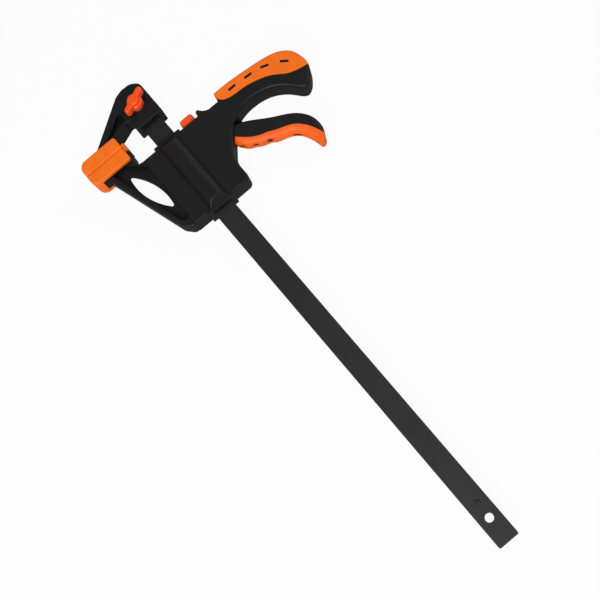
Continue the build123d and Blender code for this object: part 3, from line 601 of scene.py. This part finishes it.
def coil_spring(name, node_name, wire, turns):
    """Closed-end compression spring along the bar's direction, over its CAD coil."""
    low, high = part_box(node_name)
    middle = (low + high) / 2
    radius = (high.z - low.z) / 2 - wire * MM / 2
    first, last = low.x + wire * MM / 2, high.x - wire * MM / 2
    flat = CLOSED_TURNS / turns
    count = round(turns * COIL_STEPS)
    rings = []
    for step in range(count + 1):
        along = step / count
        climb = min(1.0, max(0.0, (along - flat) / (1 - 2 * flat)))
        a = 2 * math.pi * turns * along
        outward = Vector((0, math.cos(a), math.sin(a)))
        centre = Vector((first + (last - first) * climb, middle.y, middle.z)) + radius * outward
        ring = []
        for i in range(WIRE_SIDES):
            b = 2 * math.pi * i / WIRE_SIDES
            spoke = math.cos(b) * outward + math.sin(b) * Vector((1, 0, 0))
            ring.append(centre + wire * MM / 2 * spoke)
        rings.append(ring)
    mesh = skinned(name, rings)
    mesh.materials.append(SPRING_STEEL)
    piece = placed_object(name, mesh)
    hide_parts(node_name)
    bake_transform(piece)


grip_core_ribs()
trigger_core_ribs()
case_screws()
threaded_stud()
coil_spring("drive_coil", "drive_spring", wire=1.6, turns=5)
coil_spring("brake_coil", "brake_spring", wire=0.7, turns=3)
softened("knob_moulding", "jaw_lock_knob", "lock_knob", voxel_mm=0.3, rounds=36, finish=HARD_ORANGE)
softened("button_moulding", "release_button", "brake", voxel_mm=0.35, rounds=80, finish=HARD_ORANGE)


# ------------------------------------------------------------------ floor, light, camera
FLOOR_REACH = 4.0  # metres from the middle to each side
FLOOR_DROP = 0.0002  # metres under the clamp
FLOOR_GLOW = 0.95  # share of plain white; the rest takes the clamp's shadow
FLOOR_IN_GLOSS = 0.25  # how bright reflections see it, which keeps the satin side walls dark
SKY = 0.3  # how strongly the white surroundings light the clamp
CAMERA_AT = (370.74, -20.78, 698.73)
CAMERA_ANGLES = (14.241, 1.5, 49.877)  # turn, tilt and roll, in degrees
CAMERA_SENSOR = 36.0  # millimetres across, and so is the lens
CAMERA_LENS = 55.2


def studio_floor():
    """A plain white floor that keeps a little of the clamp's shadow, and is clear from below."""
    material, tree, shader = new_material("floor_white")
    shader.inputs["Base Color"].default_value = linear("#d8d8d8")
    shader.inputs["Roughness"].default_value = 0.9
    shader.inputs["Specular IOR Level"].default_value = 0.0
    rays = node(tree, "ShaderNodeLightPath")
    seen = node(
        tree,
        "ShaderNodeMath",
        {0: rays.outputs["Is Camera Ray"], 1: rays.outputs["Is Transmission Ray"]},
        operation="MAXIMUM",
    )
    seen = node(
        tree,
        "ShaderNodeMath",
        {0: seen.outputs[0], 1: rays.outputs["Is Glossy Ray"]},
        operation="MAXIMUM",
    )
    share = node(tree, "ShaderNodeMath", {0: seen.outputs[0], 1: FLOOR_GLOW}, operation="MULTIPLY")
    strength = node(
        tree,
        "ShaderNodeMapRange",
        {"Value": rays.outputs["Is Glossy Ray"], "To Min": 1.0, "To Max": FLOOR_IN_GLOSS},
    )
    glow = node(tree, "ShaderNodeEmission", {"Color": (1, 1, 1, 1), "Strength": strength.outputs["Result"]})
    both = node(
        tree,
        "ShaderNodeMixShader",
        {0: share.outputs[0], 1: shader.outputs["BSDF"], 2: glow.outputs["Emission"]},
    )
    side = node(tree, "ShaderNodeNewGeometry")
    clear = node(tree, "ShaderNodeBsdfTransparent")
    final = node(
        tree,
        "ShaderNodeMixShader",
        {0: side.outputs["Backfacing"], 1: both.outputs["Shader"], 2: clear.outputs["BSDF"]},
    )
    result = next(n for n in tree.nodes if n.bl_idname == "ShaderNodeOutputMaterial")
    tree.links.new(final.outputs["Shader"], result.inputs["Surface"])
    mesh = bpy.data.meshes.new("studio_floor")
    outline = [(x * FLOOR_REACH, y * FLOOR_REACH, 0) for x, y in ((-1, -1), (1, -1), (1, 1), (-1, 1))]
    mesh.from_pydata(outline, [], [(0, 1, 2, 3)])
    mesh.materials.append(material)
    floor = placed_object("studio_floor", mesh)
    floor.location.z = -FLOOR_DROP


def lamp(name, at, towards, size, watts):
    """A square soft box."""
    light = bpy.data.lights.new(name, "AREA")
    light.shape = "SQUARE"
    light.size = size
    light.energy = watts
    lamp_object = placed_object(name, light)
    lamp_object.location = at
    lamp_object.rotation_euler = (Vector(towards) - Vector(at)).to_track_quat("-Z", "Y").to_euler()


def studio_light():
    """White surroundings, a large soft box beyond the bar's free end and a weaker fill."""
    world = bpy.data.worlds.new("studio")
    bpy.context.scene.world = world
    world.use_nodes = True
    tree = world.node_tree
    tree.nodes.clear()
    rays = node(tree, "ShaderNodeLightPath")
    strength = node(
        tree,
        "ShaderNodeMapRange",
        {"Value": rays.outputs["Is Camera Ray"], "To Min": SKY, "To Max": 1.0},
    )
    sky = node(tree, "ShaderNodeBackground", {"Color": (1, 1, 1, 1), "Strength": strength.outputs["Result"]})
    node(tree, "ShaderNodeOutputWorld", {"Surface": sky.outputs["Background"]})
    lamp("key", (0.75, -0.65, 1.15), towards=(0, 0, 0), size=0.8, watts=19.0)
    lamp("fill", (-0.3, 1.25, 0.8), towards=(-0.1, 0, 0), size=0.8, watts=5.0)


def studio_camera():
    """The camera, solved in the clamp's own axes."""
    turn, tilt, roll = (math.radians(a) for a in CAMERA_ANGLES)
    across = Vector((math.cos(turn), 0, -math.sin(turn)))
    upward = Vector((math.sin(tilt) * math.sin(turn), math.cos(tilt), math.sin(tilt) * math.cos(turn)))
    back = across.cross(upward)
    right = math.cos(roll) * across + math.sin(roll) * upward
    up = -math.sin(roll) * across + math.cos(roll) * upward
    camera = bpy.data.cameras.new("camera")
    camera.sensor_width = CAMERA_SENSOR
    camera.lens = CAMERA_LENS
    camera.clip_start = 0.01
    holder = placed_object("camera", camera)
    facing = Matrix((right, up, back)).transposed().to_4x4()
    holder.matrix_world = Matrix.Translation(place(*CAMERA_AT)) @ facing
    bpy.context.scene.camera = holder


studio_floor()
studio_light()
studio_camera()
bpy.context.scene.view_settings.view_transform = "Standard"
